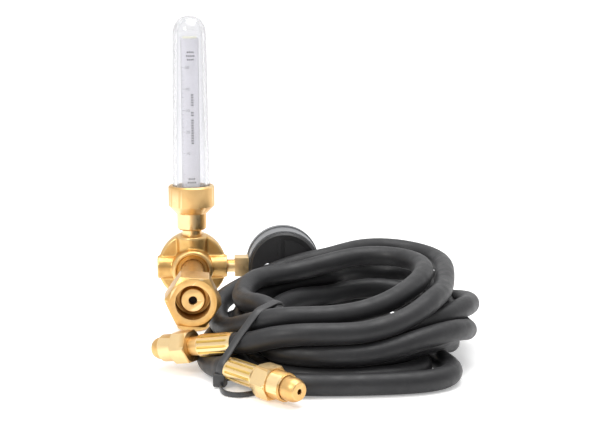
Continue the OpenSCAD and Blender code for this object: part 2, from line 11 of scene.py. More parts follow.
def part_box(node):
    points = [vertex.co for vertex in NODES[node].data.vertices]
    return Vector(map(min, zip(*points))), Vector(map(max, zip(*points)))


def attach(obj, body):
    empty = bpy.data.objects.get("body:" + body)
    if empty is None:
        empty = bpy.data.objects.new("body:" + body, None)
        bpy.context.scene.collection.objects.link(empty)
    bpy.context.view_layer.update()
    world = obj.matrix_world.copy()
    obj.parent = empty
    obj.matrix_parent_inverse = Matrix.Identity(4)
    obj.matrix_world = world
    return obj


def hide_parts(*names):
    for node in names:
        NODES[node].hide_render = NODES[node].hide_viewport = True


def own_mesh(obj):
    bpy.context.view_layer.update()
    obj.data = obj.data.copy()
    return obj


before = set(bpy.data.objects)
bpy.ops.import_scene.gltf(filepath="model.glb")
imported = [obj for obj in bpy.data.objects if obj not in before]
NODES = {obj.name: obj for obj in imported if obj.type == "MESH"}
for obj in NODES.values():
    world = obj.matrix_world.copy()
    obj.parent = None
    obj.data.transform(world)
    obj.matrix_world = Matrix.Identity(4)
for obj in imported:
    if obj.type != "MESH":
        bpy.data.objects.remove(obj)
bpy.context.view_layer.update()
ROOT = "regulator"
MM = 0.001


# ---------------------------------------------------------------- camera

CAMERA_AT = (0.0, -0.8703, 0.2264)
CAMERA_TURN = 4.57  # degrees to the right of +Y
CAMERA_DIP = 9.91  # degrees below level

camera = bpy.data.objects.new("camera", bpy.data.cameras.new("camera"))
bpy.context.scene.collection.objects.link(camera)
camera.location = CAMERA_AT
camera.rotation_euler = (math.radians(90 - CAMERA_DIP), 0, math.radians(-CAMERA_TURN))
camera.data.sensor_width = 36
camera.data.lens = 82.5
camera.data.clip_start = 0.01
bpy.context.scene.camera = camera


# ---------------------------------------------------------------- helpers


def link(name, data):
    obj = bpy.data.objects.new(name, data)
    bpy.context.scene.collection.objects.link(obj)
    return obj


def mesh_piece(name, verts, faces, material=None, smooth=True):
    me = bpy.data.meshes.new(name)
    me.from_pydata([tuple(v) for v in verts], [], [tuple(f) for f in faces])
    me.validate()
    me.update()
    bm = bmesh.new()
    bm.from_mesh(me)
    bmesh.ops.recalc_face_normals(bm, faces=bm.faces)
    bm.to_mesh(me)
    bm.free()
    if smooth:
        me.polygons.foreach_set("use_smooth", [True] * len(me.polygons))
    obj = link(name, me)
    if material:
        me.materials.append(material)
    return obj


def baked(obj):
    """Applies obj's modifiers, so that its mesh is its final shape."""
    graph = bpy.context.evaluated_depsgraph_get()
    graph.update()
    final = bpy.data.meshes.new_from_object(obj.evaluated_get(graph))
    old = obj.data
    obj.modifiers.clear()
    obj.data = final
    if old.users == 0:
        bpy.data.meshes.remove(old)
    return obj


def copy_of(node, name):
    me = NODES[node].data.copy()
    me.materials.clear()
    obj = link(name, me)
    bm = bmesh.new()
    bm.from_mesh(me)
    bmesh.ops.remove_doubles(bm, verts=bm.verts, dist=2e-6)
    bmesh.ops.dissolve_limit(
        bm, angle_limit=math.radians(0.6), verts=bm.verts, edges=bm.edges
    )
    bm.to_mesh(me)
    bm.free()
    return obj


def cast_copy(node, name, voxel, passes, material):
    """A CAD part with the softened corners and small fillets of a casting."""
    obj = copy_of(node, name)
    remesh = obj.modifiers.new("remesh", "REMESH")
    remesh.mode = "VOXEL"
    remesh.voxel_size = voxel
    soft = obj.modifiers.new("soften", "SMOOTH")
    soft.factor = 0.5
    soft.iterations = passes
    baked(obj)
    obj.data.materials.clear()
    obj.data.materials.append(material)
    obj.data.polygons.foreach_set("use_smooth", [True] * len(obj.data.polygons))
    return obj


def edged_copy(node, name, width, material):
    """A CAD part with its edges broken by a small radius, as machined parts have."""
    obj = copy_of(node, name)
    bevel = obj.modifiers.new("bevel", "BEVEL")
    bevel.limit_method = "ANGLE"
    bevel.angle_limit = math.radians(28)
    bevel.width = width
    bevel.segments = 3
    bevel.use_clamp_overlap = True
    bevel.miter_outer = "MITER_ARC"
    baked(obj)
    obj.data.materials.clear()
    obj.data.materials.append(material)
    smooth_by_angle(obj, 32)
    return obj


def unit(v):
    return v / np.linalg.norm(v)


def smooth_by_angle(obj, degrees):
    me = obj.data
    me.polygons.foreach_set("use_smooth", [True] * len(me.polygons))
    bm = bmesh.new()
    bm.from_mesh(me)
    limit = math.radians(degrees)
    for e in bm.edges:
        e.smooth = len(e.link_faces) == 2 and e.calc_face_angle(0) < limit
    bm.to_mesh(me)
    bm.free()


# ---------------------------------------------------------------- hose

HOSE_R = 6.2
END_A = np.array((23.3, -120.7, 22.0))
END_B = np.array((20.2, -131.4, 10.6))
OUT_A = np.array((0.804, -0.563, 0.191))
OUT_B = np.array((0.629, -0.777, -0.0175))

# Where each turn passes through the tie.
TIE = [
    None,
    (41, -115, 33.5),
    (45, -109, 21),
    (36, -116, 18.7),
    (45, -108, 7.8),
    (26, -126, 7.8),
    (36, -118, 7.8),
    (15.8, -124, 9.3),
]
# Each turn runs along the front, round the right, along the far side and back.
TURNS = [
    [(85, -138, 28), (135, -112, 36), (154, -52, 44), (153, -2, 46), (134, 12, 48.5),
     (112, 8, 50), (92, -6, 48.5), (76, -13.8, 44.5), (60, -14, 39.5), (45, -18, 35.5),
     (30, -32, 32.5), (19, -50, 30.5), (12.5, -66, 27.5), (13, -80, 22.5), (22, -98, 23.5)],
    [(85, -120, 36), (122, -98, 44), (140, -56, 49.5), (130, -28, 50), (102, -22, 50.3),
     (84, -26, 47.5), (67, -29, 43), (54, -34, 39), (42, -42, 35.5), (33, -55, 34),
     (29, -72, 33), (33, -90, 31)],
    [(85, -130, 20), (138, -113, 22), (165, -76, 27), (162, -36, 28), (140, -14, 28),
     (104, -12, 27.5), (80, -24, 27.5), (62, -36, 27), (52, -52, 25.5), (46, -72, 24),
     (40, -95, 20)],
    [(85, -138, 14), (128, -122, 18), (150, -104, 20), (161, -80, 18), (157, -40, 24.5),
     (146, -4, 32.5), (122, 13, 33.5), (94, 6, 34), (73, -10, 36), (54, -24, 33),
     (38, -42, 27), (32, -70, 23), (30, -95, 18)],
    [(85, -134, 8), (124, -126, 12), (141, -112, 13), (152, -86, 8), (152, -45, 9),
     (136, 4, 12), (104, 14, 16), (78, 0, 13.5), (54, -6, 10), (34, -32, 9), (22, -72, 8)],
    [(55, -150, 6.3), (92, -149, 6.3), (124, -150, 6.3), (146, -134, 6.3),
     (140, -108, 6.3), (136, -60, 6.3), (112, -8, 6.3), (70, -6, 6.3), (44, -40, 6.3),
     (36, -86, 6.3)],
    [(75, -137, 6.3), (110, -134, 6.3), (133, -116, 6.3), (132, -84, 6.3), (120, -50, 6.3),
     (90, -28, 10), (56, -32, 18), (26, -58, 16), (11, -90, 6.8), (12.5, -110, 7)],
]
# Round things that the hose lies against: two ends and a radius.
RODS = [
    ((0, -100, 41), (0, -82, 41), 16.6),
    ((0, -82, 41), (0, -10, 41), 7.4),
    ((0, 0, 11), (0, 0, 30), 11),
]
# Discs that face -Y: x, z, radius, rear and front y.
DISCS = [(59, 41, 23.5, -7, 17), (0, 41, 22.4, -1.4, 10), (31.6, 41, 8.5, -6, 6)]
STEP = 5.0


def smooth_line(points, step):
    """Evenly spaced points of a natural cubic spline through the given ones."""
    p = np.array(points, float)
    d = np.r_[0, np.cumsum(np.linalg.norm(np.diff(p, axis=0), axis=1))]
    n = len(p)
    h = np.diff(d)
    a = np.zeros((n, n))
    rhs = np.zeros((n, 3))
    a[0, 0] = a[-1, -1] = 1
    for i in range(1, n - 1):
        a[i, i - 1 : i + 2] = h[i - 1], 2 * (h[i - 1] + h[i]), h[i]
        rhs[i] = 6 * ((p[i + 1] - p[i]) / h[i] - (p[i] - p[i - 1]) / h[i - 1])
    m = np.linalg.solve(a, rhs)
    t = np.linspace(0, d[-1], 4000)
    k = np.clip(np.searchsorted(d, t, side="right") - 1, 0, n - 2)
    u = (t - d[k])[:, None]
    v = (d[k + 1] - t)[:, None]
    w = h[k][:, None]
    q = (m[k] * v**3 + m[k + 1] * u**3) / (6 * w)
    q += (p[k] / w - m[k] * w / 6) * v + (p[k + 1] / w - m[k + 1] * w / 6) * u
    e = np.r_[0, np.cumsum(np.linalg.norm(np.diff(q, axis=0), axis=1))]
    s = np.linspace(0, e[-1], int(e[-1] / step))
    return np.stack([np.interp(s, e, q[:, i]) for i in range(3)], 1)


SETTLE_ROUNDS = 600
APART = 12.5  # centre to centre where two turns touch
NEIGHBOURS = 7  # points along the hose that don't count as another turn
BEND = 0.11  # how strongly each round straightens the hose
ANCHOR = 0.0017  # how strongly it stays near the route
STRETCH = 0.4  # how much of a length error each round removes
PUSH = 0.25  # how much of an overlap each round removes
LIE = 0.2  # gap left to rods and discs


def settle(line):
    """The hose springs into even curves and lies on itself, the floor and the regulator."""
    x = line.copy()
    start = line.copy()
    i = np.arange(len(x))
    far = np.abs(i[:, None] - i[None, :]) > NEIGHBOURS
    length = np.linalg.norm(np.diff(x, axis=0), axis=1).mean()
    floor = HOSE_R + 0.1
    for _ in range(SETTLE_ROUNDS):
        lap = np.zeros_like(x)
        lap[1:-1] = x[:-2] + x[2:] - 2 * x[1:-1]
        x[2:-2] -= BEND * (lap[1:-3] + lap[3:-1] - 2 * lap[2:-2])
        x += ANCHOR * (start - x)
        for odd in (0, 1):
            a = i[odd:-1:2]
            d = x[a + 1] - x[a]
            gap = np.linalg.norm(d, axis=1, keepdims=True)
            pull = STRETCH * (gap - length) / gap * d
            x[a] += pull
            x[a + 1] -= pull
        d = x[:, None, :] - x[None, :, :]
        gap = np.sqrt((d**2).sum(-1)) + 1e-9
        near = (gap < APART) & far
        push = (d * np.where(near, (APART - gap) / gap, 0)[:, :, None]).sum(1) * PUSH
        x += push / np.sqrt(np.maximum(near.sum(1), 1))[:, None]
        x[:, 2] = np.maximum(x[:, 2], floor)
        for a, b, r in RODS:
            a, b = np.array(a, float), np.array(b, float)
            t = np.clip(((x - a) @ (b - a)) / ((b - a) @ (b - a)), 0, 1)[:, None]
            d = x - (a + t * (b - a))
            gap = np.linalg.norm(d, axis=1, keepdims=True)
            x += d / gap * np.maximum(r + HOSE_R + LIE - gap, 0)
        for cx, cz, r, y0, y1 in DISCS:
            q = np.hypot(x[:, 0] - cx, x[:, 2] - cz)
            edge = r + HOSE_R + LIE - q
            front = x[:, 1] - (y0 - HOSE_R - 0.3)
            hit = (edge > 0) & (front > 0) & (x[:, 1] < y1 + HOSE_R + 0.3)
            ahead = hit & (front < edge)
            x[ahead, 1] -= front[ahead]
            beside = hit & ~ahead
            k = edge[beside] / q[beside]
            x[beside, 0] += k * (x[beside, 0] - cx)
            x[beside, 2] += k * (x[beside, 2] - cz)
        x[:3] = start[:3]
        x[-3:] = start[-3:]
        x[:, 2] = np.maximum(x[:, 2], floor)
    return x


def hose_route():
    points = [END_A, END_A + 4 * OUT_A]
    for through, turn in zip(TIE, TURNS):
        if through:
            points.append(through)
        points += turn
    points += [TIE[-1], END_B - 4 * OUT_B, END_B]
    return settle(smooth_line(points, STEP))


route = hose_route()
curve = bpy.data.curves.new("gas_hose", "CURVE")
curve.dimensions = "3D"
spline = curve.splines.new("BEZIER")
spline.bezier_points.add(len(route) - 1)
for bp, p in zip(spline.bezier_points, route):
    bp.co = Vector(p * MM)
    bp.handle_left_type = bp.handle_right_type = "AUTO"
curve.bevel_depth = HOSE_R * MM
curve.bevel_resolution = 9
curve.resolution_u = 2
curve.use_fill_caps = True
hose = link("gas_hose", curve)


# ---------------------------------------------------------------- materials


class Tree:
    """Short calls for building one material's nodes."""

    def __init__(self, name):
        self.mat = bpy.data.materials.new(name)
        self.mat.use_nodes = True
        self.nodes = self.mat.node_tree.nodes
        self.links = self.mat.node_tree.links
        self.shader = self.nodes["Principled BSDF"]
        self.coord = self.nodes.new("ShaderNodeTexCoord").outputs["Object"]

    def put(self, socket, value):
        if hasattr(value, "links"):
            self.links.new(value, socket)
        else:
            socket.default_value = value

    def set(self, **values):
        for key, value in values.items():
            name = "Base Color" if key == "Base" else key
            self.put(self.shader.inputs[name], value)
        return self

    def noise(self, scale, detail=3, rough=0.5):
        n = self.nodes.new("ShaderNodeTexNoise")
        n.inputs["Scale"].default_value = scale
        n.inputs["Detail"].default_value = detail
        n.inputs["Roughness"].default_value = rough
        self.links.new(self.coord, n.inputs["Vector"])
        return n.outputs["Fac"]

    def ramp(self, fac, *stops):
        r = self.nodes.new("ShaderNodeValToRGB")
        el = r.color_ramp.elements
        while len(el) < len(stops):
            el.new(0.5)
        for e, (pos, col) in zip(el, stops):
            e.position = pos
            e.color = (*col, 1) if len(col) == 3 else col
        self.links.new(fac, r.inputs["Fac"])
        return r.outputs["Color"]

    def span(self, fac, low, high, a=0.0, b=1.0):
        m = self.nodes.new("ShaderNodeMapRange")
        for key, v in (("From Min", a), ("From Max", b), ("To Min", low), ("To Max", high)):
            m.inputs[key].default_value = v
        self.links.new(fac, m.inputs["Value"])
        return m.outputs["Result"]

    def math(self, op, a, b=0.0):
        m = self.nodes.new("ShaderNodeMath")
        m.operation = op
        self.put(m.inputs[0], a)
        self.put(m.inputs[1], b)
        return m.outputs["Value"]

    def mix(self, fac, a, b):
        m = self.nodes.new("ShaderNodeMix")
        m.data_type = "RGBA"
        self.put(m.inputs[0], fac)
        self.put(m.inputs[6], (*a, 1) if isinstance(a, tuple) else a)
        self.put(m.inputs[7], (*b, 1) if isinstance(b, tuple) else b)
        return m.outputs[2]

    def edges(self, low=0.5, high=0.56):
        g = self.nodes.new("ShaderNodeNewGeometry")
        return self.span(g.outputs["Pointiness"], 0, 1, low, high)

    def rings(self, axis, pitch):
        """Fine turning marks round an axis of the frame."""
        s = self.nodes.new("ShaderNodeSeparateXYZ")
        self.links.new(self.coord, s.inputs[0])
        turns = self.math("MULTIPLY", s.outputs[axis], 2 * math.pi / pitch)
        return self.math("SINE", turns)

    def bump(self, height, depth, strength=1.0, under=None):
        b = self.nodes.new("ShaderNodeBump")
        b.inputs["Strength"].default_value = strength
        b.inputs["Distance"].default_value = depth
        self.links.new(height, b.inputs["Height"])
        if under:
            self.links.new(under, b.inputs["Normal"])
        return b.outputs["Normal"]


def brass(name, dark, mid, light, rough, grain, turned=None):
    t = Tree(name)
    tone = t.ramp(t.noise(55, 5, 0.6), (0.28, dark), (0.5, mid), (0.74, light))
    worn = t.mix(t.edges(), tone, (0.86, 0.64, 0.34))
    t.set(Base=worn, Metallic=1.0)
    t.set(Roughness=t.span(t.noise(420, 4, 0.6), rough - 0.07, rough + 0.09, 0.3, 0.7))
    n = t.bump(t.noise(1500, 3), 0.00012 * grain, 0.5)
    n = t.bump(t.noise(240, 2), 0.0005 * grain, 0.35, n)
    if turned:
        n = t.bump(t.rings(*turned), 0.000006, 0.6, n)
    t.set(Normal=n)
    return t.mat


def steel(name, colour, rough, grain=1.0):
    t = Tree(name)
    tone = t.ramp(t.noise(90, 4), (0.3, tuple(c * 0.86 for c in colour)), (0.7, colour))
    edge = tuple(min(1.0, 1.15 * c) for c in colour)
    t.set(Base=t.mix(t.edges(), tone, edge), Metallic=1.0)
    t.set(Roughness=t.span(t.noise(600, 3), rough - 0.05, rough + 0.08, 0.3, 0.7))
    t.set(Normal=t.bump(t.noise(1800, 2), 0.00008 * grain, 0.4))
    return t.mat


def plastic(name, colour, rough, grain=1.0):
    t = Tree(name)
    tone = t.ramp(
        t.noise(120, 4), (0.3, tuple(c * 0.8 for c in colour)), (0.7, colour)
    )
    edge = tuple(min(1.0, c * 1.5 + 0.01) for c in colour)
    t.set(Base=t.mix(t.edges(), tone, edge))
    t.set(Roughness=t.span(t.noise(700, 3), rough - 0.06, rough + 0.08, 0.3, 0.7))
    t.set(Normal=t.bump(t.noise(2200, 2), 0.0001 * grain, 0.35))
    return t.mat


M_CAST = brass(
    "cast_brass",
    (0.56, 0.31, 0.09),
    (0.68, 0.42, 0.145),
    (0.76, 0.50, 0.20),
    0.36, 0.8,
)
M_NUT = brass(
    "nut_brass",
    (0.52, 0.27, 0.07),
    (0.63, 0.355, 0.105),
    (0.71, 0.43, 0.15),
    0.36, 0.6,
)
M_TURNED = brass(
    "turned_brass",
    (0.57, 0.30, 0.09),
    (0.67, 0.385, 0.13),
    (0.74, 0.46, 0.18),
    0.34, 0.3,
    ("Z", 0.0004),
)
M_STEM = brass(
    "stem_brass",
    (0.56, 0.31, 0.10),
    (0.68, 0.42, 0.15),
    (0.76, 0.50, 0.21),
    0.34, 0.3,
    ("Y", 0.0004),
)
M_FIT = brass(
    "fitting_brass",
    (0.54, 0.29, 0.08),
    (0.64, 0.37, 0.12),
    (0.73, 0.45, 0.17),
    0.41, 0.4,
)
M_FERRULE = brass(
    "ferrule_brass",
    (0.56, 0.35, 0.07),
    (0.68, 0.44, 0.11),
    (0.76, 0.53, 0.17),
    0.33, 0.4,
)
# Near-black painted shade for the inside of a bore.
M_BORE_SHADE = plastic("painted_bore_shade", (0.010, 0.007, 0.005), 0.8)
M_BRONZE = brass(
    "porous_bronze",
    (0.30, 0.17, 0.08),
    (0.42, 0.26, 0.12),
    (0.55, 0.36, 0.17),
    0.5, 4.0,
)
M_STEEL = steel("plated_steel", (0.52, 0.52, 0.54), 0.30)
M_WIRE = steel("spring_wire", (0.50, 0.50, 0.52), 0.32)
M_CASE = steel("case_steel", (0.25, 0.255, 0.265), 0.42, 1.5)
M_BACK = plastic("gauge_back_black", (0.007, 0.007, 0.008), 0.45, 1.5)
M_KNOB = plastic("knob_black", (0.02, 0.02, 0.022), 0.38, 1.2)
M_SEAL = plastic("seal_black", (0.012, 0.012, 0.012), 0.55)
M_DIAPHRAGM = plastic("diaphragm_black", (0.03, 0.03, 0.03), 0.7, 6)
M_NYLON = plastic("tie_nylon", (0.016, 0.016, 0.017), 0.40, 1.0)
M_FLOAT = plastic("float_black", (0.02, 0.02, 0.022), 0.22)
M_STOP = plastic("stop_ivory", (0.78, 0.70, 0.50), 0.45)
M_DIAL = plastic("dial_white", (0.86, 0.86, 0.84), 0.5)
M_INK = plastic("black_ink", (0.015, 0.015, 0.017), 0.45)
M_PALE_INK = plastic("grey_ink", (0.06, 0.06, 0.08), 0.5)
M_POINTER = plastic("pointer_black", (0.02, 0.02, 0.02), 0.35)


def rubber():
    t = Tree("hose_rubber")
    cloud = t.noise(38, 5, 0.62)
    tone = t.ramp(
        cloud,
        (0.3, (0.010, 0.010, 0.0115)),
        (0.55, (0.014, 0.014, 0.0155)),
        (0.8, (0.020, 0.020, 0.022)),
    )
    dust = t.span(t.noise(260, 6, 0.7), 0, 0.22, 0.56, 0.74)
    t.set(Base=t.mix(dust, tone, (0.046, 0.045, 0.044)))
    t.set(Roughness=t.span(t.noise(160, 4), 0.40, 0.58, 0.3, 0.7))
    n = t.bump(t.noise(2600, 3, 0.6), 0.00012, 0.5)
    n = t.bump(t.noise(420, 3), 0.0002, 0.12, n)
    t.set(Normal=n)
    t.shader.inputs["Specular IOR Level"].default_value = 0.42
    t.shader.inputs["Sheen Weight"].default_value = 0.05
    t.shader.inputs["Sheen Roughness"].default_value = 0.4
    return t.mat


M_HOSE = rubber()


def clear(name, colour, rough, haze, painted_glow=0.0, bend=1.45):
    """Clear plastic with a faint milky haze and handling marks; its colour is darkened towards
    grazing angles as painted shade, and it can carry a painted glow.
    """
    t = Tree(name)
    # Painted shade: the colour darkens to 0.3 of itself at grazing angles, standing in for the dark
    # lines at the clear walls.
    rim = t.nodes.new("ShaderNodeLayerWeight")
    rim.inputs["Blend"].default_value = 0.35
    painted_rim_shade = t.span(rim.outputs["Facing"], 0, 1, 0.3, 0.9)
    t.set(Base=t.mix(painted_rim_shade, colour, tuple(c * 0.3 for c in colour)))
    t.set(Roughness=t.span(t.noise(300, 4), rough, rough + 0.04, 0.35, 0.7))
    t.shader.inputs["Transmission Weight"].default_value = 1.0 - haze
    # Painted glow: an emission in the material's own colour, with no lamp behind it.
    t.shader.inputs["Emission Color"].default_value = (*colour, 1)
    t.shader.inputs["Emission Strength"].default_value = painted_glow
    t.shader.inputs["IOR"].default_value = bend
    return t.mat


M_COVER = clear("clear_cover", (0.93, 0.93, 0.95), 0.0, 0.13, 0.0, 1.42)
# The scale tube carries a painted glow of 0.10, standing in for light shining through it from
# behind.
M_TUBE = clear("scale_tube", (0.93, 0.92, 0.97), 0.12, 0.7, 0.10)
M_LENS = clear("lens_clear", (0.97, 0.99, 1.0), 0.02, 0.02)


def dress(material, *nodes):
    """Puts one material on whole CAD parts."""
    for node in nodes:
        slots = NODES[node].data.materials
        for i in range(max(1, len(slots))):
            if len(slots):
                slots[i] = material
            else:
                slots.append(material)


dress(M_CAST, "side_plug", "bonnet", "body", "gauge_socket", "inlet_nut")
dress(M_TURNED, "tube_base", "valve_nozzle", "gauge_bourdon_tube")
dress(M_FIT, "hose_nipple_a", "hose_nipple_b", "hose_nut_a", "hose_nut_b")
dress(M_FERRULE, "ferrule_a", "ferrule_b")
dress(M_STEM, "inlet_stem", "gauge_movement", "gauge_sector")
dress(M_BRONZE, "inlet_filter")
dress(M_STEEL, "valve_poppet", "diaphragm_plate", "spring_button")
dress(M_STEEL, "adjusting_screw", "knob_cap", "gauge_screw")
dress(M_WIRE, "poppet_spring", "range_spring")
dress(M_CASE, "gauge_case", "gauge_bezel")
dress(M_BACK, "gauge_back")
dress(M_KNOB, "knob")
dress(M_SEAL, "cover_seal", "tube_seal")
dress(M_DIAPHRAGM, "diaphragm")
dress(M_HOSE, "hose_tail_a", "hose_tail_b")
dress(M_FLOAT, "float_ball")
dress(M_STOP, "float_stop")
dress(M_DIAL, "gauge_dial")
dress(M_POINTER, "gauge_pointer")
dress(M_COVER, "tube_cover")
dress(M_TUBE, "scale_tube")
dress(M_LENS, "gauge_lens")
curve.materials.append(M_HOSE)

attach(hose, ROOT)
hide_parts("hose_coil", "hose_lead_a", "hose_lead_b")


# ---------------------------------------------------------------- brass parts

casting = cast_copy("body", "body_casting", 0.00045, 7, M_CAST)
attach(casting, ROOT)
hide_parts("body")
for node, body, width, material, slot in (
    ("inlet_nut", "inlet_nut", 0.4, M_NUT, "cast_brass"),
    ("gauge_socket", ROOT, 0.35, M_NUT, "cast_brass"),
    ("tube_base", ROOT, 0.5, M_TURNED, "bright_brass"),
    ("hose_nut_a", "hose_nut_a", 0.3, M_FIT, "cast_brass"),
    ("hose_nut_b", "hose_nut_b", 0.3, M_FIT, "cast_brass"),
    ("hose_nipple_a", ROOT, 0.3, M_FIT, "bright_brass"),
    ("hose_nipple_b", ROOT, 0.3, M_FIT, "bright_brass"),
    ("inlet_stem", ROOT, 0.25, M_STEM, "bright_brass"),
):
    piece = edged_copy(node, node + "_machined", width * MM, material)
    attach(piece, body)
    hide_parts(node)


def disc(name, centre, facing, radius, material):
    """A small domed disc inside a bore, put there as painted shade."""
    out = unit(np.array(facing, float))
    side = unit(np.cross(out, (0.3, 0.2, 1.0)))
    up = np.cross(out, side)
    verts, faces = [np.array(centre, float) - 0.4 * out], []
    rings, spokes = 4, 32
    for k in range(1, rings + 1):
        for j in range(spokes):
            a = 2 * math.pi * j / spokes
            r = radius * k / rings
            verts.append(
                np.array(centre, float)
                + r * (math.cos(a) * side + math.sin(a) * up)
                - 0.4 * (1 - (k / rings) ** 2) * out
            )
    for j in range(spokes):
        faces.append((0, 1 + j, 1 + (j + 1) % spokes))
        for k in range(rings - 1):
            a, b = 1 + k * spokes, 1 + (k + 1) * spokes
            faces.append((a + j, b + j, b + (j + 1) % spokes, a + (j + 1) % spokes))
    obj = mesh_piece(name, [v * MM for v in verts], faces, material)
    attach(obj, ROOT)
    return obj


# Painted shade: a near-black disc just inside the stem's mouth, in front of the filter, standing in
# for the shade down the bore.
BORE_SHADE_AT = (0, -91.5, 41)
disc("bore_shade_disc", BORE_SHADE_AT, (0, -1, 0), 2.44, M_BORE_SHADE)


# Each spring, whose fixed end is on the inlet side, is copied as a wound wire part; its joint and
# travel are listed, but nothing here shortens it as the joint moves.
for node, joint, travel in (
    ("range_spring", "button_slide", 0.0040),
    ("poppet_spring", "poppet_slide", 0.0006),
):
    spring = copy_of(node, node + "_wound")
    spring.data.materials.append(M_WIRE)
    smooth_by_angle(spring, 60)
    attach(spring, ROOT)
    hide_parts(node)
    low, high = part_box(node)
    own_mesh(spring)


# ---------------------------------------------------------------- clear cover


def lathe(name, outline, material, sides=96):
    """A closed skin turned round the flow tube's axis from (radius, height) points."""
    verts, faces = [], []
    for r, z in outline:
        for j in range(sides):
            a = 2 * math.pi * j / sides
            verts.append((r * math.cos(a) * MM, r * math.sin(a) * MM, z * MM))
    for i in range(len(outline) - 1):
        for j in range(sides):
            k = (j + 1) % sides
            a, b = i * sides, (i + 1) * sides
            faces.append((a + j, a + k, b + k, b + j))
    obj = mesh_piece(name, verts, faces, material)
    bm = bmesh.new()
    bm.from_mesh(obj.data)
    bmesh.ops.remove_doubles(bm, verts=bm.verts, dist=1e-6)
    bmesh.ops.recalc_face_normals(bm, faces=bm.faces)
    bm.to_mesh(obj.data)
    bm.free()
    smooth_by_angle(obj, 40)
    return obj


low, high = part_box("tube_cover")
COVER_TOP = high[2] / MM - 0.05
COVER_FOOT = low[2] / MM + 0.05
COVER_R = 10.4  # under the dome
COVER_FOOT_R = 11.9
COVER_WALL = 2.6


def dome(radius, top, drop, steps=24):
    """Quarter outline from under the dome to its top."""
    return [
        (radius * math.cos(a), top - drop + drop * math.sin(a))
        for a in np.linspace(0, math.pi / 2, steps)
    ]


outer = [(COVER_FOOT_R, COVER_FOOT), (COVER_FOOT_R, 96.0)] + dome(COVER_R, COVER_TOP, 11.0)
inner = [(COVER_FOOT_R - COVER_WALL, COVER_FOOT), (COVER_FOOT_R - COVER_WALL, 96.0)]
inner += dome(COVER_R - COVER_WALL, COVER_TOP - COVER_WALL, 8.4)
cover = lathe("clear_cover", outer + inner[::-1] + outer[:1], M_COVER)
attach(cover, ROOT)
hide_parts("tube_cover")


# ---------------------------------------------------------------- scales


def font_mesh(text, height):
    """Flat letters, centred on the origin, as (vertices, faces)."""
    data = bpy.data.curves.new("figures", "FONT")
    data.body = text
    data.size = height
    data.align_x = "CENTER"
    data.align_y = "CENTER"
    data.resolution_u = 3
    obj = link("figures", data)
    bpy.context.view_layer.update()
    me = obj.to_mesh()
    verts = [tuple(v.co) for v in me.vertices]
    faces = [tuple(f.vertices) for f in me.polygons]
    obj.to_mesh_clear()
    bpy.data.objects.remove(obj)
    return verts, faces


class Print:
    """Flat printed marks gathered into one piece."""

    def __init__(self, place):
        self.place = place
        self.verts, self.faces = [], []

    def add(self, verts, faces, at=(0, 0), turn=0.0):
        base = len(self.verts)
        c, s = math.cos(turn), math.sin(turn)
        for x, y, *_ in verts:
            self.verts.append(self.place(at[0] + c * x - s * y, at[1] + s * x + c * y))
        self.faces += [tuple(base + i for i in f) for f in faces]

    def bar(self, at, size, turn=0.0, cuts=4):
        w, h = size[0] / 2, size[1] / 2
        verts, faces = [], []
        for k in range(cuts + 1):
            x = -w + 2 * w * k / cuts
            verts += [(x, -h), (x, h)]
        for k in range(cuts):
            faces.append((2 * k, 2 * k + 2, 2 * k + 3, 2 * k + 1))
        self.add(verts, faces, at, turn)

    def figures(self, text, height, at, turn=0.0):
        self.add(*font_mesh(text, height), at=at, turn=turn)

    def piece(self, name, material, slot):
        obj = mesh_piece(name, self.verts, self.faces, material, smooth=False)
        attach(obj, ROOT)
        return obj


low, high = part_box("scale_tube")
SCALE_R = (high[0] - low[0]) / 2 + 0.00006


def on_tube(x, z):
    a = x / SCALE_R
    return (SCALE_R * math.sin(a), -SCALE_R * math.cos(a), z)


scale = Print(on_tube)
SCALE_LOW = low[2] + 0.012
SCALE_SPAN = high[2] - low[2] - 0.030
for k in range(26):
    z = SCALE_LOW + SCALE_SPAN * k / 25
    long = k % 5 == 0
    scale.bar((-0.0052, z), (0.0034 if long else 0.002, 0.00022))
    if long and k:
        scale.figures(str(k * 2), 0.0026, (-0.0016, z))
# Blank blocks where a real scale carries wording.
BLOCK = 0.0011
for z, rows in ((high[2] - 0.0085, (4, 5, 4)), (low[2] + 0.0092, (4, 5))):
    for row, count in enumerate(rows):
        for k in range(count):
            x = 0.0004 + (k - (count - 1) / 2) * BLOCK
            scale.bar((x, z - 0.0023 * row), (0.72 * BLOCK, 0.0011), cuts=1)
for k in range(20):
    if k not in (10, 13, 14):
        scale.bar((0.0012, SCALE_LOW + 0.020 + 0.0016 * k), (0.0017, 0.0010))
scale.piece("scale_marks", M_PALE_INK, "scale_tube")

low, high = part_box("gauge_dial")
DIAL_X = (low[0] + high[0]) / 2
DIAL_Z = (low[2] + high[2]) / 2
DIAL_Y = high[1] + 0.00004


def on_dial(x, z):
    return (DIAL_X - x, DIAL_Y, DIAL_Z + z)


dial = Print(on_dial)
for k in range(41):
    a = math.radians(225 - 270 * k / 40)
    long = k % 5 == 0
    r = 0.0162 if long else 0.0168
    dial.bar(
        (r * math.cos(a), r * math.sin(a)),
        (0.0028 if long else 0.0016, 0.00042 if long else 0.00024),
        a,
    )
    if long:
        dial.figures(
            str(k * 100), 0.0027, (0.0124 * math.cos(a), 0.0124 * math.sin(a))
        )
dial.piece("dial_marks", M_INK, "dial_white")


# ---------------------------------------------------------------- cable tie

TIE_LOW = np.array((19.0, -127.0, 5.0))
TIE_HIGH = np.array((41.0, -113.0, 38.0))
TIE_ALONG = np.array((0.85, -0.52, 0.0))
TIE_W = 4.4
TIE_T = 1.2


def hull(points):
    """Convex outline of flat points, anticlockwise."""
    pts = sorted(map(tuple, points))

    def half(seq):
        out = []
        for p in seq:
            while len(out) > 1 and (
                (out[-1][0] - out[-2][0]) * (p[1] - out[-2][1])
                - (out[-1][1] - out[-2][1]) * (p[0] - out[-2][0])
            ) <= 0:
                out.pop()
            out.append(p)
        return out[:-1]

    return np.array(half(pts) + half(pts[::-1]))


